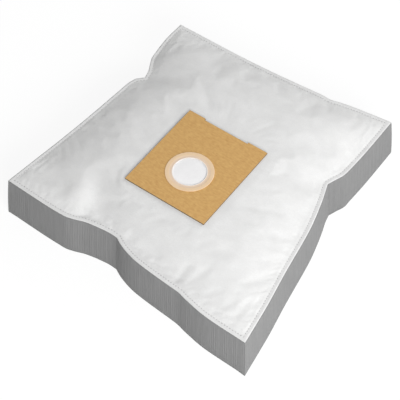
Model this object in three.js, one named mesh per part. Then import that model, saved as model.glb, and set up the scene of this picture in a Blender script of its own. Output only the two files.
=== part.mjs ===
// Vacuum dust bag, opened out and lying on its back: two fleece panels joined by a side band,
// a cardboard collar plate over the inlet hole, a film ring that seals against the hose, and a
// limp flap that closes the inlet from inside.
// Millimetres, +Z up. The origin is on the floor, under the middle of the base. +X runs along
// the front edge of the bag and +Y points from the inlet to the recessed edge of the plate.

import * as THREE from "three";

// Size of the bag at the rim, seen from above
const bagWidth = 303;
const bagDepth = 309;

// How far the sides run off square, from corner to corner
const frontSkew = 16.5;
const backSkew = 16.5;
const rightTaper = 30.5;
const leftTaper = 12.5;
const frontLeft = corner(-1, -1, 0, frontSkew);
const frontRight = corner(1, -1, 0, 0);
const backRight = corner(1, 1, rightTaper, 0);
const backLeft = corner(-1, 1, leftTaper, backSkew);

// How far the filled edges are drawn in between the corners at most
const frontPull = 15.6;
const rightPull = 19.6;
const backPull = 6.6;
const leftPull = 18.7;

// Each edge is a row of runs with a kink where one run ends and the next starts. A point is
// [share of the edge, share of its pull].
const frontRuns = [
  [
    [0.165, 0.064], [0.241, 0.173], [0.274, 0.353], [0.31, 0.641],
    [0.353, 0.833], [0.399, 0.981], [0.432, 1],
  ],
  [[0.481, 0.615], [0.557, 0.353], [0.722, 0.263]],
  [[0.778, 0.077], [0.857, -0.064]],
];
const rightRuns = [
  [[0.151, 0.097], [0.28, 0.255], [0.422, 0.378], [0.496, 0.485], [0.586, 0.724], [0.66, 1]],
  [[0.683, 0.832], [0.709, 0.612], [0.741, 0.469], [0.847, 0.235]],
];
const backRuns = [
  [[0.134, 0.333], [0.2, 0.591], [0.261, 1]],
  [[0.307, 0.864], [0.491, 0.924], [0.645, 0.818], [0.768, 0.576]],
];
const leftRuns = [
  [[0.098, 0.053], [0.192, 0.299], [0.224, 0.455], [0.261, 0.791], [0.304, 1]],
  [[0.329, 0.663], [0.355, 0.545], [0.452, 0.492], [0.597, 0.417], [0.738, 0.299], [0.869, 0.15]],
];

// Fleece and how it is welded together
const rimHeight = 52; // top of the welded rim above the floor
const panelCloth = 1.2; // fleece of the front and back panels
const bandCloth = 1.2; // fleece of the side band
const seamWidth = 9; // flat margin where a panel lies on the band's flange
const lean = 3; // how far the base stands out beyond the rim

// Crown of the front panel, from the flat rest under the plate down to the rim
const crownHeight = 12.2; // rest above the rim
const restMargin = 4; // rest beyond the edges of the plate
const frontFullness = 2.6; // the higher, the flatter the crown and the steeper its edge
const rightFullness = 3;
const backFullness = 4.5;
const leftFullness = 2;

// Folds that run in from the kinks
const foldHalfWidth = 12;
const frontNotchDepth = 4;
const frontRidgeHeight = 3;
const leftNotchDepth = 3.5;
const rightNotchDepth = 3;
const backRidgeHeight = 2;

// [from, to, height], with both ends as shares of the bag's width and depth from its middle
const folds = [
  [[-0.073, -0.408], [-0.185, -0.337], -frontNotchDepth],
  [[-0.086, -0.324], [0.152, -0.382], frontRidgeHeight],
  [[-0.403, 0.175], [-0.277, 0.22], -leftNotchDepth],
  [[0.356, 0.149], [0.251, 0.097], -rightNotchDepth],
  [[-0.152, 0.343], [0.238, 0.317], backRidgeHeight],
];

// Cardboard collar plate
const plateWidth = 97;
const plateDepth = 110;
const plateThickness = 1.8;
const plateCentre = new THREE.Vector2(-2.6, -19.8);
const recessWidth = 54; // shallow recess in the back edge, where the holder's tongue reaches in
const recessDepth = 2;
const recessOffset = -1.6; // from the middle of the back edge

// Inlet through the plate and the front panel, and the film ring that seals it
const inletDiameter = 36; // hole in the cardboard
const inletOffset = new THREE.Vector2(-0.8, -10.7); // from the middle of the plate
const panelHoleMargin = 1; // the fleece is cut this much wider than the cardboard
const ringOuterDiameter = 50;
const ringLip = 1.5; // film that stands in over the hole
const ringThickness = 0.6;

// Fleece flap behind the hole, welded to the panel along its straight back edge
const flapCloth = 0.6;
const flapLap = 4; // beyond the hole at the sides and the front
const flapWeld = 6; // further beyond it at the back

// How finely the curved shapes are stepped
const outlineStep = 10;
const crownSteps = 8;
const roundSegments = 64;

const restHeight = rimHeight + crownHeight;
const plateTop = restHeight + plateThickness;
const inletCentre = plateCentre.clone().add(inletOffset);
const panelHoleRadius = inletDiameter / 2 + panelHoleMargin;

function corner(sideX, sideY, insetX, insetY) {
  return new THREE.Vector2(sideX * (bagWidth / 2 - insetX), sideY * (bagDepth / 2 - insetY));
}

// Points of one edge from corner start up to, and without, corner end
function edgePoints(start, end, pull, runs) {
  const edge = end.clone().sub(start);
  const inwards = new THREE.Vector2(-edge.y, edge.x).normalize();
  const place = ([share, pullShare]) =>
    start.clone().addScaledVector(edge, share).addScaledVector(inwards, pullShare * pull);
  const points = [];
  let from = start;
  runs.forEach((run, index) => {
    const last = index === runs.length - 1;
    const stops = [from, ...run.map(place)];
    if (last) stops.push(end);
    const curve = new THREE.SplineCurve(stops);
    const steps = Math.ceil(curve.getLength() / outlineStep);
    points.push(...curve.getSpacedPoints(steps).slice(0, -1));
    from = stops[stops.length - 1];
  });
  return points;
}

// The rim outline counter-clockwise from above, moved so that the base is centred on the origin
function rimOutline() {
  const outline = [
    ...edgePoints(frontLeft, frontRight, frontPull, frontRuns),
    ...edgePoints(frontRight, backRight, rightPull, rightRuns),
    ...edgePoints(backRight, backLeft, backPull, backRuns),
    ...edgePoints(backLeft, frontLeft, leftPull, leftRuns),
  ];
  const middle = new THREE.Box2().setFromPoints(inset(outline, -lean)).getCenter(new THREE.Vector2());
  return outline.map((point) => point.clone().sub(middle));
}

// Moves each point towards the middle until it lies distance inside the edges it belongs to
function inset(outline, distance) {
  return outline.map((point, index) => {
    const before = outline[(index + outline.length - 1) % outline.length];
    const after = outline[(index + 1) % outline.length];
    const middleDirection = point.clone().normalize();
    const facing = [[before, point], [point, after]].map(([a, b]) => {
      const edge = b.clone().sub(a).normalize();
      return middleDirection.dot(new THREE.Vector2(edge.y, -edge.x));
    });
    const reach = distance / Math.min(...facing);
    return point.clone().addScaledVector(middleDirection, -reach);
  });
}

// A closed solid whose skin runs through the loops in turn and back to the first one.
// Each loop is [points seen from above, height of each point].
function loftLoops(loops) {
  const count = loops[0][0].length;
  const positions = loops.flatMap(([points, heights]) =>
    points.flatMap((point, index) => [point.x, point.y, heights[index]]));
  const indices = [];
  loops.forEach((_, row) => {
    const next = (row + 1) % loops.length;
    for (let column = 0; column < count; column += 1) {
      const [a, b] = [row * count + column, row * count + ((column + 1) % count)];
      const [c, d] = [next * count + column, next * count + ((column + 1) % count)];
      indices.push(a, b, c, b, d, c);
    }
  });
  return surface(positions, indices);
}

function surface(positions, indices) {
  const geometry = new THREE.BufferGeometry();
  geometry.setAttribute("position", new THREE.Float32BufferAttribute(positions, 3));
  geometry.setIndex(indices);
  geometry.computeVertexNormals();
  return geometry;
}

function level(points, height) {
  return [points, points.map(() => height)];
}

// Where a ray from the inlet centre leaves the flat rest under the plate
function restEdge(direction) {
  const toPlate = plateCentre.clone().sub(inletCentre);
  const halfWidth = plateWidth / 2 + restMargin;
  const halfDepth = plateDepth / 2 + restMargin;
  const reachX = (toPlate.x + Math.sign(direction.x) * halfWidth) / direction.x;
  const reachY = (toPlate.y + Math.sign(direction.y) * halfDepth) / direction.y;
  return inletCentre.clone().addScaledVector(direction, Math.min(reachX, reachY));
}

function foldHeight(point) {
  return folds.reduce((sum, [fromShares, toShares, height]) => {
    const [from, to] = [fromShares, toShares].map(([x, y]) => new THREE.Vector2(x * bagWidth, y * bagDepth));
    const run = to.clone().sub(from);
    const share = THREE.MathUtils.clamp(point.clone().sub(from).dot(run) / run.lengthSq(), 0, 1);
    const away = point.distanceTo(from.clone().addScaledVector(run, share)) / foldHalfWidth;
    return sum + height * Math.exp(-away * away);
  }, 0);
}

// How full the crown is at a point of the outline, blended by the side that it looks to
function fullness(point) {
  const direction = point.clone().normalize();
  const sideways = direction.x > 0 ? rightFullness : leftFullness;
  const lengthways = direction.y > 0 ? backFullness : frontFullness;
  return sideways * direction.x ** 2 + lengthways * direction.y ** 2;
}

// Front panel: flat welded rim, crown with its main folds, flat rest with the inlet hole
function frontPanel(rim) {
  const seamLine = inset(rim, seamWidth);
  const rays = seamLine.map((point) => point.clone().sub(inletCentre).normalize());
  const hole = rays.map((ray) => inletCentre.clone().addScaledVector(ray, panelHoleRadius));
  const rest = rays.map(restEdge);
  const upper = [level(hole, restHeight), level(rest, restHeight)];
  for (let step = 1; step < crownSteps; step += 1) {
    const share = Math.sin((step / crownSteps) * (Math.PI / 2));
    const points = rest.map((point, index) => point.clone().lerp(seamLine[index], share));
    const heights = points.map((point, index) => {
      const drop = crownHeight * share ** fullness(seamLine[index]);
      const foldShare = Math.sin(share * Math.PI) ** 0.5;
      return restHeight - drop + foldHeight(point) * foldShare;
    });
    upper.push([points, heights]);
  }
  upper.push(level(seamLine, rimHeight), level(rim, rimHeight));
  const lower = upper.map(([points, heights]) => [points, heights.map((height) => height - panelCloth)]);
  return loftLoops([...lower, ...upper.reverse()]);
}

// Side band: a wall that leans out to the base, with a flange under each panel's margin
function sideBand(rim, base) {
  const top = rimHeight - panelCloth;
  const bottom = panelCloth;
  return loftLoops([
    level(base, bottom),
    level(rim, top),
    level(inset(rim, seamWidth), top),
    level(inset(rim, seamWidth), top - bandCloth),
    level(inset(rim, bandCloth), top - bandCloth),
    level(inset(base, bandCloth), bottom + bandCloth),
    level(inset(base, seamWidth), bottom + bandCloth),
    level(inset(base, seamWidth), bottom),
  ]);
}

// Back panel: one flat sheet on the floor, triangulated from its middle
function backPanel(base) {
  const count = base.length;
  const ring = (height) => base.flatMap((point) => [point.x, point.y, height]);
  const positions = [...ring(0), ...ring(panelCloth), 0, 0, 0, 0, 0, panelCloth];
  const [lowMiddle, highMiddle] = [2 * count, 2 * count + 1];
  const indices = base.flatMap((_, index) => {
    const next = (index + 1) % count;
    const [low, lowNext, high, highNext] = [index, next, count + index, count + next];
    return [
      ...[low, lowNext, high, lowNext, highNext, high],
      ...[lowMiddle, lowNext, low],
      ...[highMiddle, high, highNext],
    ];
  });
  return surface(positions, indices);
}

// Collar plate: cardboard with a recess in its back edge and the inlet hole
function collarPlate() {
  const [right, back] = [plateWidth / 2, plateDepth / 2];
  const recessLeft = recessOffset - recessWidth / 2;
  const recessRight = recessOffset + recessWidth / 2;
  const outline = [
    [-right, -back],
    [right, -back],
    [right, back],
    [recessRight, back],
    [recessRight, back - recessDepth],
    [recessLeft, back - recessDepth],
    [recessLeft, back],
    [-right, back],
  ];
  const shape = new THREE.Shape(outline.map(([x, y]) => new THREE.Vector2(x, y)));
  const hole = new THREE.Path();
  hole.absarc(inletOffset.x, inletOffset.y, inletDiameter / 2, 0, 2 * Math.PI, true);
  shape.holes.push(hole);
  const curveSegments = roundSegments / 2;
  return new THREE.ExtrudeGeometry(shape, { depth: plateThickness, bevelEnabled: false, curveSegments });
}

// Sealing ring: a flat film washer whose lip stands in over the hole
function inletRing() {
  const outer = ringOuterDiameter / 2;
  const inner = inletDiameter / 2 - ringLip;
  const profile = [[inner, 0], [outer, 0], [outer, ringThickness], [inner, ringThickness], [inner, 0]];
  const points = profile.map(([radius, height]) => new THREE.Vector2(radius, height));
  return new THREE.LatheGeometry(points, roundSegments).rotateX(Math.PI / 2);
}

// Closing flap: a tongue with a round front, centred on the hole
function closingFlap() {
  const radius = panelHoleRadius + flapLap;
  const tongue = new THREE.Shape();
  tongue.moveTo(radius, radius + flapWeld);
  tongue.lineTo(-radius, radius + flapWeld);
  tongue.absarc(0, 0, radius, Math.PI, 2 * Math.PI, false);
  const curveSegments = roundSegments / 2;
  return new THREE.ExtrudeGeometry(tongue, { depth: flapCloth, bevelEnabled: false, curveSegments });
}

function piece(name, geometry, colour, roughness) {
  const material = new THREE.MeshStandardMaterial({ color: colour, roughness, metalness: 0 });
  const mesh = new THREE.Mesh(geometry, material);
  mesh.name = name;
  return mesh;
}

const rim = rimOutline();
const base = inset(rim, -lean);

const back = piece("back_panel", backPanel(base), "#f2f2f0", 0.9);
const band = piece("side_band", sideBand(rim, base), "#949494", 0.9);
const front = piece("front_panel", frontPanel(rim), "#f0f0ef", 0.85);
const plate = piece("collar_plate", collarPlate(), "#c9a067", 0.8);
plate.position.set(plateCentre.x, plateCentre.y, restHeight);
const ring = piece("inlet_seal", inletRing(), "#eedcc0", 0.45);
ring.position.set(inletCentre.x, inletCentre.y, plateTop);
const flap = piece("inlet_flap", closingFlap(), "#f2f2f0", 0.9);
flap.position.set(inletCentre.x, inletCentre.y, restHeight - panelCloth - flapCloth);

const bag = new THREE.Group();
bag.add(back, band, front, plate, ring, flap);

export default bag;
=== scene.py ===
"""The finished look of a vacuum dust bag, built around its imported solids. Metres, +Z up."""
import math

import bmesh
import bpy
import numpy as np
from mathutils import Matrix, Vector, noise
from mathutils.geometry import delaunay_2d_cdt
from mathutils.kdtree import KDTree


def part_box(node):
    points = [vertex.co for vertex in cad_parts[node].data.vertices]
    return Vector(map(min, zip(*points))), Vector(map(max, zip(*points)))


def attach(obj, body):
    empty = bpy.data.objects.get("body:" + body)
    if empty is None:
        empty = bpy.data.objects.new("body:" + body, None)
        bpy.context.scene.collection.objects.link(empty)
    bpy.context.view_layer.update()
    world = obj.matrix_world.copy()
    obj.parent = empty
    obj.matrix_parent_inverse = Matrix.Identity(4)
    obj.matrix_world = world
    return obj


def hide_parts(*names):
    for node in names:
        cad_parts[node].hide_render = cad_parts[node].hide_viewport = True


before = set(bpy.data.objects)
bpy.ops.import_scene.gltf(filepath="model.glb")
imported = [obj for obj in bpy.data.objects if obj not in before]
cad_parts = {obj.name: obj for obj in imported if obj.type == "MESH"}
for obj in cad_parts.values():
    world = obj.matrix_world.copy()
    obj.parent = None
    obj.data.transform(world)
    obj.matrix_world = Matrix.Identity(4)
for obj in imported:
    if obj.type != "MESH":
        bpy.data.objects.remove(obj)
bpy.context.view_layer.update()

MM = 0.001
TINY = 1e-9
SEED = 7
scene = bpy.context.scene

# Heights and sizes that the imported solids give
BAND_LOW, BAND_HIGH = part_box("side_band")
PLATE_LOW, PLATE_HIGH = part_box("collar_plate")
SEAL_LOW, SEAL_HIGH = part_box("inlet_seal")
PANEL_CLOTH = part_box("back_panel")[1].z
RIM_HEIGHT = BAND_HIGH.z + PANEL_CLOTH
REST_HEIGHT = PLATE_LOW.z
SEAL_CENTRE = (SEAL_LOW + SEAL_HIGH) / 2
SEAL_RADIUS = (SEAL_HIGH.x - SEAL_LOW.x) / 2

# Sizes that repeat those of the solids
BAND_CLOTH = 1.2 * MM
SEAM_WIDTH = 9 * MM
PANEL_HOLE_RADIUS = 19 * MM

# Reading the solids: what counts as one place, as one angle and as a kink
SAME_PLACE = 0.1 * MM
SAME_ANGLE = 1e-3
KINK_DEGREES = 20
# Least sine of the angle between an edge and the way to the middle, where a ring is pulled in
LEAST_FACING = 0.5

# Cells of the cloth: fine beside the rim, where the weld line and its puckers are
COARSE_CELL = 2.4 * MM
FINE_CELL = 1.15 * MM
FINE_BAND = 13 * MM
BACK_CELL, BACK_EDGE_CELL = 3 * COARSE_CELL, 2 * FINE_CELL
# Steps of the ring from which distances to the rim are measured
RIM_STEP = 0.4 * MM
# Least distance of a cloth's inner points from its rim and its hole, in cells
RIM_CLEAR, HOLE_CLEAR = 0.6, 0.4
# Spans of the round edges, the last one being the edge of the flat rest under the plate
HOLE_SPANS, SWELL_SPANS, FLAP_SPANS, REST_SPANS = 96, 120, 59, 360

# Crown of the front panel: flat under the plate, and from there it drops to the rim, the later
# the higher its fullness, which is given for eight ways, eastwards first and anticlockwise
REST_MARGIN = 4 * MM
REST_SQUARENESS = 5
FULLNESS = [1.35, 1.4, 5, 1.9, 2.2, 1.6, 1.1, 1.2]
CREASE_ROUNDS = 60
CORNER_FLAT = (3 * MM, 15 * MM)
CORNER_KEPT = 0.25
# Folds as [route, half widths to the left and right of it, height], in millimetres. Valleys are
# negative
FOLDS = [
    [[(-58, -130), (-67, -100)], (16, 32), -5],
    [[(-73, -134), (-81, -106)], (13, 13), 1.6],
    [[(-8, -127), (6, -130), (56, -137)], (8, 8), -3.6],
    [[(-140, -112), (-96, -110)], (10, 10), -1.5],
    [[(-118, 86), (-84, 120)], (12, 12), 1.3],
    [[(-122, 54), (-84, 68)], (12, 12), -1.5],
    [[(108, 46), (76, 30)], (12, 12), -0.8],
    [[(-40, 119), (74, 116)], (14, 30), 2.7],
    [[(-73, 8), (-67, 52)], (12, 12), 1],
]
FOLD_FADE = 0.5

# Cloth simulation of the front panel
CLOTH = {
    "quality": 5,
    "mass": 0.02,
    "tension_stiffness": 12,
    "compression_stiffness": 12,
    "shear_stiffness": 6,
    "bending_stiffness": 3.0,
    "tension_damping": 8,
    "compression_damping": 8,
    "shear_damping": 8,
    "bending_damping": 1,
    "air_damping": 2,
    "shrink_min": -0.0022,
    "vertex_group_mass": "held",
    "use_pressure": True,
    "uniform_pressure_force": 1.2,
}
CLOTH_FRAMES = 20
CLOTH_CAP = 4 * MM

# Waves as (height, size, seed), in millimetres, and how soon the slack ones reach full height
SLACK_WAVES = [(0.4, 38, 1), (0.14, 14, 2)]
SLACK_RISE = 6
FLAP_WAVES = [(0.1, 9, 3)]
PUCKER_WAVES = [(0.3, 7, 0), (0.3, 15, 5)]
PATCH_WAVES = [(1.2, 55, 9)]
PATCH_MIDDLE, PATCH_LIMITS = 0.6, (0.2, 1.2)

# Pressed weld line inside the rim: its groove, the roll beside it, and how far in puckers reach
WELD_INSET = 3.9 * MM
GROOVE_DEPTH, GROOVE_WIDTH = 0.18 * MM, 0.8 * MM
ROLL_HEIGHT, ROLL_WIDTH, ROLL_GAP = 0.15 * MM, 1.6 * MM, 2.4 * MM
PUCKER_RISE, PUCKER_REACH, PUCKER_FADE = 3 * MM, 8 * MM, 9 * MM
PUCKER_STRETCH = 0.25
DOT_PITCH, DOT_LENGTH, DOT_WIDTH, DOT_HEIGHT = 3.2 * MM, 1.8 * MM, 1.0 * MM, 0.25 * MM
DOT_SUNK, DOT_AHEAD = 0.05 * MM, 0.5 * MM
DOT_SIDES = 8

# Side band: how far its wall stands out at foot and top, and its ribs as (height, pitch, phase),
# with the first two in millimetres
WALL_COLUMNS = 580
WALL_ROWS = 15
FOOT_PROUD, HEM_PROUD, HEM_HEIGHT = 0.05 * MM, 0.4 * MM, 0.1 * MM
LIP_INNER, LIP_PROUD, LIP_HEIGHT = 0.03 * MM, 0.15 * MM, 0.8 * MM
WALL_BELLY = 0.25 * MM
RIBS = [(0.16, 2.6, 0), (0.04, 5.2, 1.3)]
RIB_FADE = 0.2

# Flap: the disc that swells up into the inlet, with the radii of its upper and lower edge. Its
# crown and how far the whole flap sinks are in millimetres
SWELL_REACH, SWELL_HEIGHT = (17.75 * MM, 17.9 * MM), 3.0 * MM
SWELL_CROWN, SWELL_MARGIN, SWELL_CLEAR = 0.25, 0.35 * MM, 0.5 * MM
FLAP_SUNK = 0.15
FLAP_REACH = 60 * MM

# Film ring: radii of its opening, of its pressed step, and where its inner materials end
SEAL_OPENING = 17.3 * MM
SEAL_STEP = (21.6 * MM, 21.3 * MM, 20.9 * MM)
SEAL_DENT = 0.12 * MM
SEAL_BAND_END, SEAL_LIP_END = 21 * MM, 18 * MM

# Collar plate: what counts as one corner and as one face, its rounded edge and its cut faces,
# which take the dark edge colour with painted shade
BOARD_MERGE = 0.001 * MM
BOARD_FLAT_DEGREES = 1
BOARD_ROUND, BOARD_ROUND_SPANS = 0.3 * MM, 3
BOARD_EDGE_DEGREES = 40
CUT_SLOPE = 0.35

# Studio: lamps as (name, azimuth, elevation, power), floor tones and the photograph's view
LAMPS = [("key", -36, 30, 20.6), ("back", 60, 25, 9.3)]
LAMP_DISTANCE, LAMP_SIZE = 1.6, 0.9
SKY_STRENGTH = 0.425
FLOOR_SEEN, FLOOR_LIFT, FLOOR_PLAIN = 0.15, 0.88, 0.95
FLOOR_REACH = 6.0
CAMERA_AZIMUTH, CAMERA_ELEVATION, CAMERA_DISTANCE = 36, 53, 1.5
CAMERA_TARGET = Vector((19.5, -44.5, 52)) * MM
CAMERA_SENSOR, CAMERA_LENS = 36, 135


def lengths(vectors):
    return np.hypot(*vectors.T)


def bearings(vectors):
    return np.arctan2(vectors[:, 1], vectors[:, 0])


def cross(a, b):
    return a[..., 0] * b[..., 1] - a[..., 1] * b[..., 0]


def circle(centre, radius, turn):
    """Points of a circle at the given angles."""
    return centre + radius * np.column_stack([np.cos(turn), np.sin(turn)])


def full_turn(spans):
    return np.linspace(0, 2 * math.pi, spans, endpoint=False)


def outermost(node, height):
    """The outermost loop of a node's corners at one height, anticlockwise."""
    corners = np.array([v.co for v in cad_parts[node].data.vertices])
    flat = corners[np.abs(corners[:, 2] - height) < SAME_PLACE, :2]
    angles = bearings(flat)
    order = np.argsort(angles)
    flat, angles = flat[order], angles[order]
    starts = np.flatnonzero(np.diff(angles) > SAME_ANGLE) + 1
    return np.array([group[lengths(group).argmax()] for group in np.split(flat, starts)])


def turns(loop):
    """How far the loop turns left at each point, in degrees."""
    back = loop - np.roll(loop, 1, axis=0)
    ahead = np.roll(loop, -1, axis=0) - loop
    return np.degrees(np.arctan2(cross(back, ahead), (back * ahead).sum(1)))


def smooth_run(points, spans=12):
    """Catmull-Rom curve through a run of points."""
    ends = np.vstack([2 * points[0] - points[1], points, 2 * points[-1] - points[-2]])
    rows = []
    for a, b, c, d in zip(ends, ends[1:], ends[2:], ends[3:]):
        t = np.linspace(0, 1, spans, endpoint=False)[:, None]
        rows.append(0.5 * (2 * b + (c - a) * t + (2 * a - 5 * b + 4 * c - d) * t ** 2
                           + (3 * b - a - 3 * c + d) * t ** 3))
    return np.vstack([*rows, points[-1:]])


def spread(points, shares):
    """Points at the given shares of the length of a line."""
    steps = lengths(np.diff(points, axis=0))
    along = np.concatenate([[0], np.cumsum(steps)]) / steps.sum()
    return np.column_stack([np.interp(shares, along, points[:, k]) for k in (0, 1)])


def four_sides(loop):
    """The loop as four smooth sides: front, right, back and left, each from corner to corner."""
    turn = turns(loop)
    corners = np.sort(np.argsort(turn)[-4:])
    first = corners[np.argmin(loop[corners].sum(1))]
    loop, turn = np.roll(loop, -first, axis=0), np.roll(turn, -first)
    corners = [*np.sort((corners - first) % len(loop)), len(loop)]
    loop, turn = np.vstack([loop, loop[:1]]), np.append(turn, turn[0])
    sides = []
    for start, end in zip(corners, corners[1:]):
        kinks = [i for i in range(start + 1, end) if abs(turn[i]) > KINK_DEGREES]
        stops = [start, *kinks, end]
        runs = [smooth_run(loop[a:b + 1]) for a, b in zip(stops, stops[1:])]
        sides.append(np.vstack([runs[0], *[run[1:] for run in runs[1:]]]))
    return sides


def ring_of(sides, step):
    """The four sides as one closed ring of evenly stepped points."""
    parts = []
    for side in sides:
        count = round(lengths(np.diff(side, axis=0)).sum() / step)
        parts.append(spread(side, np.linspace(0, 1, count, endpoint=False)))
    return np.vstack(parts)


def pulled_in(ring, distance):
    """The ring drawn towards the middle until it lies about a distance inside itself."""
    ahead = np.roll(ring, -1, axis=0) - ring
    back = ring - np.roll(ring, 1, axis=0)
    middle = ring / lengths(ring)[:, None]
    facing = [cross(middle, edge / lengths(edge)[:, None]) for edge in (ahead, back)]
    reach = distance / np.maximum(np.minimum(*facing), LEAST_FACING)
    return ring - middle * reach[:, None]


def along_ring(ring):
    """How far along the ring each of its points lies."""
    steps = lengths(np.roll(ring, -1, axis=0) - ring)
    return np.concatenate([[0], np.cumsum(steps)[:-1]])


def lattice(step, reach):
    """Points of a triangular lattice over a square of twice the reach."""
    rows = []
    for number, y in enumerate(np.arange(-reach, reach, step * math.sqrt(3) / 2)):
        xs = np.arange(-reach + (number % 2) * step / 2, reach, step)
        rows.append(np.column_stack([xs, np.full(len(xs), y)]))
    return np.vstack(rows)


def from_rim(points):
    """Distance from each point to the rim, and how far along the rim the nearest place is."""
    ring = ring_of(RIM_SIDES, RIM_STEP)
    tree = KDTree(len(ring))
    for number, place in enumerate(ring.tolist()):
        tree.insert((*place, 0), number)
    tree.balance()
    found = [tree.find((*point, 0)) for point in points.tolist()]
    gaps = np.array([gap for _, _, gap in found])
    return gaps, np.array([number for _, number, _ in found]) * RIM_STEP


def filled(ring, holes, inner):
    """Triangles between an outer ring and its holes, through the inner points."""
    points, edges = [*ring], [(i, (i + 1) % len(ring)) for i in range(len(ring))]
    for hole in holes:
        first = len(points)
        edges += [(first + i, first + (i + 1) % len(hole)) for i in range(len(hole))]
        points += [*hole]
    points = np.vstack([points, inner])
    flat = [Vector(point) for point in points.tolist()]
    made = delaunay_2d_cdt(flat, edges, [], 1, TINY)
    return np.array([list(point) for point in made[0]]), np.array(made[2])


def new_piece(name, points, faces):
    """A smooth-shaded object from plain points and faces."""
    mesh = bpy.data.meshes.new(name)
    mesh.from_pydata([tuple(p) for p in points], [], [tuple(f) for f in faces])
    mesh.validate()
    mesh.polygons.foreach_set("use_smooth", [True] * len(mesh.polygons))
    piece = bpy.data.objects.new(name, mesh)
    scene.collection.objects.link(piece)
    return piece


def apply_modifiers(piece):
    """Replaces the piece's mesh by what its modifiers make of it."""
    graph = bpy.context.evaluated_depsgraph_get()
    made = bpy.data.meshes.new_from_object(piece.evaluated_get(graph))
    piece.modifiers.clear()
    piece.data = made


def thicken(piece, thickness):
    """Gives a sheet its thickness, on its underside."""
    solid = piece.modifiers.new("thickness", "SOLIDIFY")
    solid.thickness = thickness
    solid.offset = -1
    apply_modifiers(piece)


def polar_reach(loop, centre):
    """A function that gives the loop's distance from a centre at any angle."""
    offset = loop - centre
    angles = bearings(offset)
    order = np.argsort(angles)
    angles, reach = angles[order], lengths(offset[order])
    return lambda angle: np.interp(angle, angles, reach, period=2 * math.pi)


RIM_SIDES = four_sides(outermost("side_band", BAND_HIGH.z))
BASE_SIDES = four_sides(outermost("side_band", BAND_LOW.z))
WELD_RING = pulled_in(ring_of(RIM_SIDES, FINE_CELL), WELD_INSET + GROOVE_WIDTH)


def crown_shares(points):
    """0 on the rest under the plate, 1 on the weld line, and in between on the crown."""
    centre = np.array(SEAL_CENTRE[:2])
    offset = points - centre
    angle = bearings(offset)
    middle = np.array((PLATE_LOW + PLATE_HIGH)[:2]) / 2
    half = np.array((PLATE_HIGH - PLATE_LOW)[:2]) / 2 + REST_MARGIN
    turn = np.linspace(-math.pi, math.pi, REST_SPANS + 1)
    ways = np.column_stack([np.cos(turn), np.sin(turn)])
    squared = (np.abs(ways / half) ** REST_SQUARENESS).sum(1)
    radius = (2 / squared) ** (1 / REST_SQUARENESS)
    rest = polar_reach(middle + ways * radius[:, None], centre)(angle)
    seam = polar_reach(WELD_RING, centre)(angle)
    return np.clip((lengths(offset) - rest) / (seam - rest), 0, 1), angle


def relaxed(heights, faces, loose, rounds):
    """Rounds off creases: each loose corner moves to the mean height of its neighbours."""
    edges = np.vstack([faces[:, [0, 1]], faces[:, [1, 2]], faces[:, [2, 0]]])
    ends, others = np.concatenate([edges, edges[:, ::-1]]).T
    count = np.bincount(ends, minlength=len(heights))
    for _ in range(rounds):
        mean = np.bincount(ends, heights[others], len(heights)) / np.maximum(count, 1)
        heights = np.where(loose, mean, heights)
    return heights


def fold_heights(points):
    """What the folds add to the crown, each by the distance from the nearest run of its route."""
    total = np.zeros(len(points))
    for route, (left, right), height in FOLDS:
        route = np.array(route) * MM
        away, side = np.full(len(points), np.inf), np.zeros(len(points))
        for start, end in zip(route, route[1:]):
            run = end - start
            share = np.clip((points - start) @ run / (run @ run), 0, 1)
            offset = points - start - share[:, None] * run
            gap = np.maximum(lengths(offset), TINY)
            leftwards = cross(run, offset) / (gap * np.hypot(*run))
            side = np.where(gap < away, leftwards, side)
            away = np.minimum(gap, away)
        half_width = (left * (1 + side) + right * (1 - side)) / 2 * MM
        total += height * MM * np.exp(-(away / half_width) ** 2)
    return total


def crown_heights(points, faces):
    """The crown's height at each point, and the point's share of the way to the weld line."""
    share, angle = crown_shares(points)
    knots = np.arange(len(FULLNESS)) * 2 * math.pi / len(FULLNESS)
    fullness = np.interp(angle, knots, FULLNESS, period=2 * math.pi)
    heights = REST_HEIGHT - (REST_HEIGHT - RIM_HEIGHT) * share ** fullness
    heights = relaxed(heights, faces, (share > 0) & (share < 1), CREASE_ROUNDS)
    window = np.sin(share * math.pi) ** FOLD_FADE
    heights = heights + fold_heights(points) * window
    near, far = CORNER_FLAT
    for corner in (side[0] for side in RIM_SIDES):
        away = np.clip((lengths(points - corner) - near) / (far - near), 0, 1)
        kept = CORNER_KEPT + (1 - CORNER_KEPT) * away ** 2 * (3 - 2 * away)
        heights = RIM_HEIGHT + (heights - RIM_HEIGHT) * kept
    return heights, share


def waves(points, layers):
    """Smooth noise at each flat point, from layers of hills."""
    total = 0
    for height, size, seed in layers:
        size *= MM
        total += height * np.array([noise.noise((x / size, y / size, SEED + seed))
                                    for x, y in points.tolist()])
    return total


def settle_cloth(piece, held):
    """Lets the cloth take up its slack under a little pressure, with the held corners fixed."""
    before = np.array([v.co for v in piece.data.vertices])
    group = piece.vertex_groups.new(name="held")
    group.add([int(i) for i in np.flatnonzero(held)], 1.0, "REPLACE")
    cloth = piece.modifiers.new("cloth", "CLOTH")
    for name, value in CLOTH.items():
        setattr(cloth.settings, name, value)
    cloth.settings.effector_weights.gravity = 0
    cloth.collision_settings.use_collision = False
    for number in range(1, CLOTH_FRAMES + 1):
        scene.frame_set(number)
    apply_modifiers(piece)
    scene.frame_set(1)
    move = np.array([v.co for v in piece.data.vertices]) - before
    size = np.linalg.norm(move, axis=1, keepdims=True)
    move *= np.minimum(1, CLOTH_CAP / np.maximum(size, TINY))
    return before + move


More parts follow.
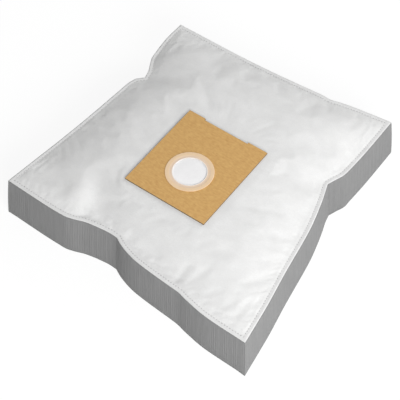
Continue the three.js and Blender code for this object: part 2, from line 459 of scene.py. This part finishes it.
def weld_relief(distance, place):
    """Pressed weld line inside the rim, and the puckers that it draws into the cloth beside it."""
    inwards = distance - WELD_INSET
    groove = -GROOVE_DEPTH * np.exp(-(inwards / GROOVE_WIDTH) ** 2)
    roll = ROLL_HEIGHT * np.exp(-((inwards - ROLL_GAP) / ROLL_WIDTH) ** 2)
    inside = np.clip(inwards / PUCKER_RISE, 0, 1)
    fade = inside * np.exp(-np.maximum(distance - PUCKER_REACH, 0) / PUCKER_FADE)
    ring_place = np.column_stack([place, distance * PUCKER_STRETCH])
    puckers = waves(ring_place, PUCKER_WAVES)
    puckers *= np.clip(PATCH_MIDDLE + waves(ring_place, PATCH_WAVES), *PATCH_LIMITS)
    return groove + roll + fade * puckers * MM


def front_fleece():
    """Crowned sheet with the inlet hole, welded along its rim."""
    rim = ring_of(RIM_SIDES, FINE_CELL)
    centre = np.array(SEAL_CENTRE[:2])
    hole = circle(centre, PANEL_HOLE_RADIUS, full_turn(HOLE_SPANS))
    reach = np.abs(rim).max()
    parts = []
    for step, nearest, furthest in ((FINE_CELL, RIM_CLEAR * FINE_CELL, FINE_BAND),
                                    (COARSE_CELL, FINE_BAND, np.inf)):
        points = lattice(step, reach)
        points = points[lengths(points) < polar_reach(rim, np.zeros(2))(bearings(points))]
        distance, _ = from_rim(points)
        keep = (distance > nearest) & (distance <= furthest)
        keep &= lengths(points - centre) > PANEL_HOLE_RADIUS + HOLE_CLEAR * step
        parts.append(points[keep])
    flat, faces = filled(rim, [hole], np.vstack(parts))
    middle = flat[faces].mean(1)
    faces = faces[lengths(middle - centre) > PANEL_HOLE_RADIUS - SAME_PLACE]
    heights, share = crown_heights(flat, faces)
    settled = np.column_stack([flat, heights])
    piece = new_piece("front_fleece", settled, faces)
    settled = settle_cloth(piece, (share <= 0) | (share >= 1))
    settled[:, 2] += weld_relief(*from_rim(flat))
    loose = np.clip(share * SLACK_RISE, 0, 1) * np.clip((1 - share) * SLACK_RISE, 0, 1)
    settled[:, 2] += loose * waves(flat, SLACK_WAVES) * MM
    piece.data.vertices.foreach_set("co", settled.ravel())
    thicken(piece, PANEL_CLOTH)
    return piece


def back_fleece():
    """Flat sheet under the bag."""
    base = ring_of(BASE_SIDES, BACK_EDGE_CELL)
    inner = lattice(BACK_CELL, np.abs(base).max())
    within = polar_reach(base, np.zeros(2))(bearings(inner)) - COARSE_CELL
    inner = inner[lengths(inner) < within]
    flat, faces = filled(base, [], inner)
    points = np.column_stack([flat, np.full(len(flat), PANEL_CLOTH)])
    piece = new_piece("back_fleece", points, faces)
    thicken(piece, PANEL_CLOTH)
    return piece


def side_fleece():
    """Ribbed wall with a flange under each sheet. Its top covers the front sheet's cut edge."""
    shares = np.linspace(0, 1, WALL_COLUMNS, endpoint=False)
    rim, base = (np.vstack([spread(side, shares) for side in sides])
                 for sides in (RIM_SIDES, BASE_SIDES))
    along = along_ring(rim)
    ribs = sum(height * np.sin(along / (pitch * MM) * 2 * math.pi + phase)
               for height, pitch, phase in RIBS) * MM
    low, high, lip = BAND_LOW.z, BAND_HIGH.z, BAND_HIGH.z + LIP_HEIGHT
    outwards = base - pulled_in(base, 1.0)
    foot, top = base + outwards * FOOT_PROUD, rim + outwards * LIP_INNER
    loops = [(pulled_in(base, SEAM_WIDTH), low), (foot, low), (foot, HEM_HEIGHT)]
    for share in np.linspace(0, 1, WALL_ROWS):
        arch = math.sin(share * math.pi)
        proud = (HEM_PROUD * (1 - share) + LIP_PROUD * share
                 + WALL_BELLY * arch + ribs * arch ** RIB_FADE)
        loops.append((base + (rim - base) * share + outwards * proud[:, None],
                      HEM_HEIGHT + (lip - HEM_HEIGHT) * share))
    loops += [
        (top, lip),
        (top, high),
        (pulled_in(rim, SEAM_WIDTH), high),
        (pulled_in(rim, SEAM_WIDTH), high - BAND_CLOTH),
        (pulled_in(rim, BAND_CLOTH), high - BAND_CLOTH),
        (pulled_in(base, BAND_CLOTH), low + BAND_CLOTH),
        (pulled_in(base, SEAM_WIDTH), low + BAND_CLOTH),
    ]
    points = np.vstack([np.column_stack([ring, np.full(len(ring), z)]) for ring, z in loops])
    total = len(rim)
    faces = []
    for row in range(len(loops)):
        after = (row + 1) % len(loops)
        for column in range(total):
            aside = (column + 1) % total
            faces.append((row * total + column, row * total + aside,
                          after * total + aside, after * total + column))
    return new_piece("side_fleece", points, faces)


def flap_fleece():
    """Tongue of thinner fleece that shuts the inlet from inside and swells up into it."""
    low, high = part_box("inlet_flap")
    radius = (high.x - low.x) / 2
    centre = np.array([(low.x + high.x) / 2, low.y + radius])
    front = circle(centre, radius, np.linspace(math.pi, 2 * math.pi, FLAP_SPANS + 1))
    corners = [(high.x, high.y), (low.x, high.y)]
    edge = np.vstack([front, corners, front[:1]])
    count = round(lengths(np.diff(edge, axis=0)).sum() / FINE_CELL)
    ring = spread(edge, np.linspace(0, 1, count, endpoint=False))
    inner = lattice(FINE_CELL, FLAP_REACH)
    beyond = np.hypot(inner[:, 0] - centre[0], np.minimum(inner[:, 1] - centre[1], 0))
    inner = inner[(beyond < radius - FINE_CELL / 2) & (inner[:, 1] < high.y - FINE_CELL / 2)]
    hole = np.array(SEAL_CENTRE[:2])
    away = lengths(inner - hole)
    upper, lower = SWELL_REACH
    circles = (upper - SWELL_MARGIN, upper, lower, lower + SWELL_MARGIN)
    inner = inner[(away < circles[0] - SWELL_CLEAR) | (away > circles[-1] + SWELL_CLEAR)]
    turn = full_turn(SWELL_SPANS)
    flat, faces = filled(ring, [circle(hole, reach, turn) for reach in circles], inner)
    away = lengths(flat - hole)
    up = np.clip((lower - away) / (lower - upper), 0, 1)
    crown = SWELL_CROWN * np.clip(1 - (away / upper) ** 2, 0, 1)
    lift = up * (SWELL_HEIGHT / MM + crown) + waves(flat, FLAP_WAVES)
    points = np.column_stack([flat, high.z + (lift - FLAP_SUNK) * MM])
    piece = new_piece("flap_fleece", points, faces)
    thicken(piece, high.z - low.z)
    return piece


def spun(name, profile, centre, segments=128):
    """A ring turned from a closed profile of (radius, height)."""
    points, faces = [], []
    total = len(profile)
    for step in range(segments):
        angle = step / segments * 2 * math.pi
        for radius, height in profile:
            points.append((centre.x + radius * math.cos(angle),
                           centre.y + radius * math.sin(angle), height))
    for step in range(segments):
        after = (step + 1) % segments
        for place in range(total):
            beside = (place + 1) % total
            faces.append((step * total + place, after * total + place,
                          after * total + beside, step * total + beside))
    return new_piece(name, points, faces)


def seal_ring():
    """Film washer: a flat outer band, a pressed step and a lip over the hole."""
    low, high = SEAL_LOW.z, SEAL_HIGH.z
    outer, inner = SEAL_RADIUS, SEAL_OPENING
    step_outer, step_top, step_inner = SEAL_STEP
    underside = [
        (inner, low + 0.15 * MM),
        (inner + 0.4 * MM, low),
        (outer - 0.1 * MM, low),
        (outer, low + 0.12 * MM),
    ]
    outer_band = [
        (outer, high - 0.15 * MM),
        (outer - 0.15 * MM, high),
        (outer - 0.35 * MM, high),
        (step_outer, high),
        (step_top, high),
    ]
    dented_band = [
        (step_inner, high - SEAL_DENT),
        (inner + 0.9 * MM, high - SEAL_DENT),
    ]
    lip = [
        (inner + 0.5 * MM, high - 0.02 * MM),
        (inner + 0.15 * MM, high - 0.05 * MM),
        (inner, high - 0.2 * MM),
    ]
    return spun("seal_ring", underside + outer_band + dented_band + lip, SEAL_CENTRE)


def plate_board():
    """The collar plate with its cut edges slightly rounded."""
    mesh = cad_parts["collar_plate"].data.copy()
    piece = bpy.data.objects.new("collar_board", mesh)
    scene.collection.objects.link(piece)
    shape = bmesh.new()
    shape.from_mesh(mesh)
    bmesh.ops.remove_doubles(shape, verts=shape.verts, dist=BOARD_MERGE)
    bmesh.ops.dissolve_limit(shape, angle_limit=math.radians(BOARD_FLAT_DEGREES),
                             verts=shape.verts, edges=shape.edges)
    shape.to_mesh(mesh)
    shape.free()
    bevel = piece.modifiers.new("edge", "BEVEL")
    bevel.width = BOARD_ROUND
    bevel.segments = BOARD_ROUND_SPANS
    bevel.limit_method = "ANGLE"
    bevel.angle_limit = math.radians(BOARD_EDGE_DEGREES)
    apply_modifiers(piece)
    return piece


def weld_dots():
    """Small pressed lozenges along the weld line."""
    points, faces = [], []
    for side in RIM_SIDES:
        total = lengths(np.diff(side, axis=0)).sum()
        count = int((total - 2 * WELD_INSET) / DOT_PITCH)
        shares = (WELD_INSET + (np.arange(count) + 0.5) * DOT_PITCH) / total
        places = spread(side, shares)
        ahead = spread(side, np.minimum(shares + DOT_AHEAD / total, 1)) - places
        ahead /= lengths(ahead)[:, None]
        inwards = np.column_stack([-ahead[:, 1], ahead[:, 0]])
        for place, forward, inward in zip(places, ahead, inwards):
            middle = place + inward * WELD_INSET
            first = len(points)
            for step in range(DOT_SIDES):
                angle = step / DOT_SIDES * 2 * math.pi
                spot = (middle + forward * math.cos(angle) * DOT_LENGTH / 2
                        + inward * math.sin(angle) * DOT_WIDTH / 2)
                points.append((*spot, RIM_HEIGHT - DOT_SUNK))
                faces.append((first + step, first + (step + 1) % DOT_SIDES, first + DOT_SIDES))
            points.append((*middle, RIM_HEIGHT + DOT_HEIGHT))
            faces.append(tuple(first + step for step in reversed(range(DOT_SIDES))))
    return new_piece("weld_dots", points, faces)


class Nodes:
    """A material's node tree, built by short calls."""

    def __init__(self, name):
        self.material = bpy.data.materials.new(name)
        self.material.use_nodes = True
        self.tree = self.material.node_tree
        self.tree.nodes.clear()
        self.output = self.tree.nodes.new("ShaderNodeOutputMaterial")

    def add(self, kind, links=None, **values):
        """A node with its links, and with values for its own settings or its sockets."""
        node = self.tree.nodes.new(kind)
        for key, value in values.items():
            if hasattr(node, key):
                setattr(node, key, value)
            else:
                node.inputs[key.replace("_", " ")].default_value = value
        for socket, source in (links or {}).items():
            self.tree.links.new(source, node.inputs[socket])
        return node

    def mapped(self, scale=(1, 1, 1)):
        """The object's own coordinates, scaled."""
        place = self.add("ShaderNodeTexCoord")
        mapping = self.add("ShaderNodeMapping", {"Vector": place.outputs["Object"]}, Scale=scale)
        return mapping.outputs["Vector"]

    def noise(self, where, **values):
        return self.add("ShaderNodeTexNoise", {"Vector": where}, **values).outputs["Fac"]

    def ramp(self, source, dark, pale, start=0.0, end=1.0):
        """Colours from dark to pale between two levels of the source."""
        node = self.add("ShaderNodeValToRGB", {"Fac": source})
        for element, place, colour in zip(node.color_ramp.elements, (start, end), (dark, pale)):
            element.position = place
            element.color = (*colour, 1)
        return node.outputs["Color"]

    def bump(self, source, **values):
        return self.add("ShaderNodeBump", {"Height": source}, **values).outputs["Normal"]

    def finish(self, shader):
        self.tree.links.new(shader, self.output.inputs["Surface"])
        return self.material


def fleece_material(name, dark, pale, through, cloud_scale=60.0, fibre_scale=(1, 1, 1)):
    """Non-woven fleece: fine fibres, soft cloudiness, and some light that comes through."""
    nodes = Nodes(name)
    where = nodes.mapped(fibre_scale)
    fibres = nodes.noise(where, Scale=900.0, Detail=4.0, Roughness=0.7)
    clouds = nodes.noise(where, Scale=cloud_scale, Detail=3.0, Roughness=0.55)
    both = nodes.add("ShaderNodeMath", {0: fibres, 1: clouds}, operation="MULTIPLY")
    colour = nodes.ramp(both.outputs["Value"], dark, pale, 0.12, 0.42)
    normal = nodes.bump(fibres, Strength=0.25, Distance=0.0004)
    cloth = nodes.add("ShaderNodeBsdfPrincipled", {"Base Color": colour, "Normal": normal},
                      Roughness=0.92, Specular_IOR_Level=0.15, Sheen_Weight=0.08)
    glow = nodes.add("ShaderNodeBsdfTranslucent", {"Color": colour})
    mix = nodes.add("ShaderNodeMixShader", {1: cloth.outputs["BSDF"], 2: glow.outputs["BSDF"]},
                    Fac=through)
    return nodes.finish(mix.outputs["Shader"])


def board_material():
    """Kraft cardboard: brown pulp with paler and darker fibres."""
    nodes = Nodes("kraft_board")
    pulp = nodes.noise(nodes.mapped(), Scale=260.0, Detail=6.0, Roughness=0.75)
    streaks = nodes.noise(nodes.mapped((1, 3, 1)), Scale=200.0, Detail=4.0)
    both = nodes.add("ShaderNodeMath", {0: pulp, 1: streaks}, operation="ADD")
    half = nodes.add("ShaderNodeMath", {0: both.outputs["Value"]}, operation="MULTIPLY")
    half.inputs[1].default_value = 0.5
    colour = nodes.ramp(half.outputs["Value"],
                        (0.54, 0.298, 0.097), (0.68, 0.425, 0.153), 0.34, 0.66)
    normal = nodes.bump(pulp, Strength=0.15, Distance=0.0002)
    board = nodes.add("ShaderNodeBsdfPrincipled", {"Base Color": colour, "Normal": normal},
                      Roughness=0.78)
    return nodes.finish(board.outputs["BSDF"])


def shaded_edge_material():
    """Cut edge of the cardboard, with its layers showing: a little darker for its cut fibres, and
    much darker by painted shade on the plate's sides.
    """
    nodes = Nodes("kraft_edge_shaded")
    layers = nodes.noise(nodes.mapped((0.2, 0.2, 3)), Scale=900.0, Detail=3.0)
    colour = nodes.ramp(layers, (0.13, 0.085, 0.045), (0.24, 0.16, 0.085))
    edge = nodes.add("ShaderNodeBsdfPrincipled", {"Base Color": colour}, Roughness=0.9)
    return nodes.finish(edge.outputs["BSDF"])


def film_material(name, dark, pale, alpha):
    """Milky film that lets what lies under it show faintly."""
    nodes = Nodes(name)
    haze = nodes.noise(nodes.mapped(), Scale=120.0, Detail=3.0)
    film = nodes.add("ShaderNodeBsdfPrincipled", {"Base Color": nodes.ramp(haze, dark, pale)},
                     Roughness=0.4, Alpha=alpha)
    return nodes.finish(film.outputs["BSDF"])


def dress(piece, material, slot, *replaced):
    """Gives a piece its material, and lets it stand for its CAD nodes. The slot is not used."""
    piece.data.materials.clear()
    piece.data.materials.append(material)
    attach(piece, "root")
    if replaced:
        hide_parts(*replaced)


WHITE = fleece_material("white_fleece", (0.83, 0.83, 0.825), (0.92, 0.92, 0.915), 0.15)
MELTED = fleece_material("melted_fleece", (0.62, 0.62, 0.615), (0.72, 0.72, 0.715), 0.15)
# The flap's fleece is the white fleece made paler and less see-through: painted light that lifts
# the flap out of the shade under the inlet
FLAP_PAINTED_LIGHT = fleece_material("flap_fleece", (0.89, 0.885, 0.89), (0.95, 0.945, 0.95), 0.02)
GREY = fleece_material("grey_fleece", (0.233, 0.233, 0.233), (0.27, 0.27, 0.27), 0.1,
                       cloud_scale=300.0, fibre_scale=(1, 1, 0.02))
FILM = film_material("seal_film", (0.93, 0.66, 0.41), (0.99, 0.76, 0.51), 0.85)
INNER_FILM = film_material("seal_inner", (0.89, 0.66, 0.47), (0.96, 0.76, 0.58), 0.85)
LIP_FILM = film_material("seal_lip", (0.94, 0.86, 0.80), (0.98, 0.92, 0.87), 0.9)

front = front_fleece()
dress(front, WHITE, "white_fleece", "front_panel")
back = back_fleece()
dress(back, WHITE, "white_fleece", "back_panel")
side = side_fleece()
dress(side, GREY, "grey_fleece", "side_band")
board = plate_board()
dress(board, board_material(), "kraft_board", "collar_plate")
# The side faces get the dark edge colour: partly the cut board's own darker tone, mostly painted
# shade
board.data.materials.append(shaded_edge_material())
for face in board.data.polygons:
    face.material_index = int(abs(face.normal.z) < CUT_SLOPE)
ring = seal_ring()
dress(ring, FILM, "seal_film", "inlet_seal")
ring.data.materials.append(INNER_FILM)
ring.data.materials.append(LIP_FILM)
for face in ring.data.polygons:
    reach = (face.center.xy - SEAL_CENTRE.xy).length
    face.material_index = int(reach < SEAL_BAND_END) + int(reach < SEAL_LIP_END)
dots = weld_dots()
dress(dots, MELTED, "white_fleece")
flap = flap_fleece()
dress(flap, FLAP_PAINTED_LIGHT, "white_fleece", "inlet_flap")


def seen_directly(tree):
    """1 for what the camera sees, in gloss and through film too, and 0 for what lights the bag."""
    rays = tree.nodes.new("ShaderNodeLightPath")
    seen = rays.outputs["Is Camera Ray"]
    for other in ("Is Glossy Ray", "Is Transmission Ray"):
        either = tree.nodes.new("ShaderNodeMath")
        either.operation = "MAXIMUM"
        tree.links.new(seen, either.inputs[0])
        tree.links.new(rays.outputs[other], either.inputs[1])
        seen = either.outputs["Value"]
    return seen


def grey(tone):
    return (tone, tone, tone, 1)


def floor_material():
    """White floor: bright to the camera, with a faint shadow, and plain white to the bag."""
    nodes = Nodes("floor")
    seen = nodes.add("ShaderNodeBsdfDiffuse", Color=grey(FLOOR_SEEN))
    lift = nodes.add("ShaderNodeEmission", Color=grey(FLOOR_LIFT))
    to_camera = nodes.add("ShaderNodeAddShader",
                          {0: seen.outputs["BSDF"], 1: lift.outputs["Emission"]})
    plain = nodes.add("ShaderNodeBsdfDiffuse", Color=grey(FLOOR_PLAIN))
    mix = nodes.add("ShaderNodeMixShader",
                    {"Fac": seen_directly(nodes.tree), 1: plain.outputs["BSDF"],
                     2: to_camera.outputs["Shader"]})
    return nodes.finish(mix.outputs["Shader"])


def studio_floor():
    ways = ((-1, -1), (1, -1), (1, 1), (-1, 1))
    corners = [(x * FLOOR_REACH, y * FLOOR_REACH, 0) for x, y in ways]
    floor = new_piece("studio_floor", corners, [(0, 1, 2, 3)])
    floor.data.materials.append(floor_material())


def towards(azimuth, elevation):
    """The direction of an azimuth and an elevation in degrees."""
    azimuth, elevation = math.radians(azimuth), math.radians(elevation)
    return Vector((math.cos(azimuth) * math.cos(elevation),
                   math.sin(azimuth) * math.cos(elevation), math.sin(elevation)))


def aim(thing, direction):
    thing.rotation_mode = "QUATERNION"
    thing.rotation_quaternion = direction.to_track_quat("-Z", "Y")


def soft_lamp(name, azimuth, elevation, power):
    """A round soft lamp that looks at the bag from the given side."""
    lamp = bpy.data.lights.new(name, "AREA")
    lamp.shape = "DISK"
    lamp.size = LAMP_SIZE
    lamp.energy = power
    holder = bpy.data.objects.new(name, lamp)
    way = towards(azimuth, elevation)
    holder.location = way * LAMP_DISTANCE
    aim(holder, -way)
    scene.collection.objects.link(holder)


def studio_sky():
    """An even grey sky that looks white to the camera."""
    world = bpy.data.worlds.new("sky")
    world.use_nodes = True
    tree = world.node_tree
    sky = tree.nodes["Background"]
    sky.inputs["Color"].default_value = grey(1)
    sky.inputs["Strength"].default_value = SKY_STRENGTH
    white = tree.nodes.new("ShaderNodeBackground")
    white.inputs["Color"].default_value = grey(1)
    mix = tree.nodes.new("ShaderNodeMixShader")
    tree.links.new(seen_directly(tree), mix.inputs["Fac"])
    tree.links.new(sky.outputs["Background"], mix.inputs[1])
    tree.links.new(white.outputs["Background"], mix.inputs[2])
    tree.links.new(mix.outputs["Shader"], tree.nodes["World Output"].inputs["Surface"])
    scene.world = world


def studio_camera():
    """The photograph's view, from in front and to the right, well above the floor."""
    way = towards(CAMERA_AZIMUTH - 90, CAMERA_ELEVATION)
    camera = bpy.data.objects.new("camera", bpy.data.cameras.new("camera"))
    camera.data.sensor_width = CAMERA_SENSOR
    camera.data.lens = CAMERA_LENS
    camera.location = CAMERA_TARGET + way * CAMERA_DISTANCE
    aim(camera, -way)
    scene.collection.objects.link(camera)
    scene.camera = camera


studio_floor()
for lamp in LAMPS:
    soft_lamp(*lamp)
studio_sky()
studio_camera()
scene.view_settings.view_transform = "Standard"
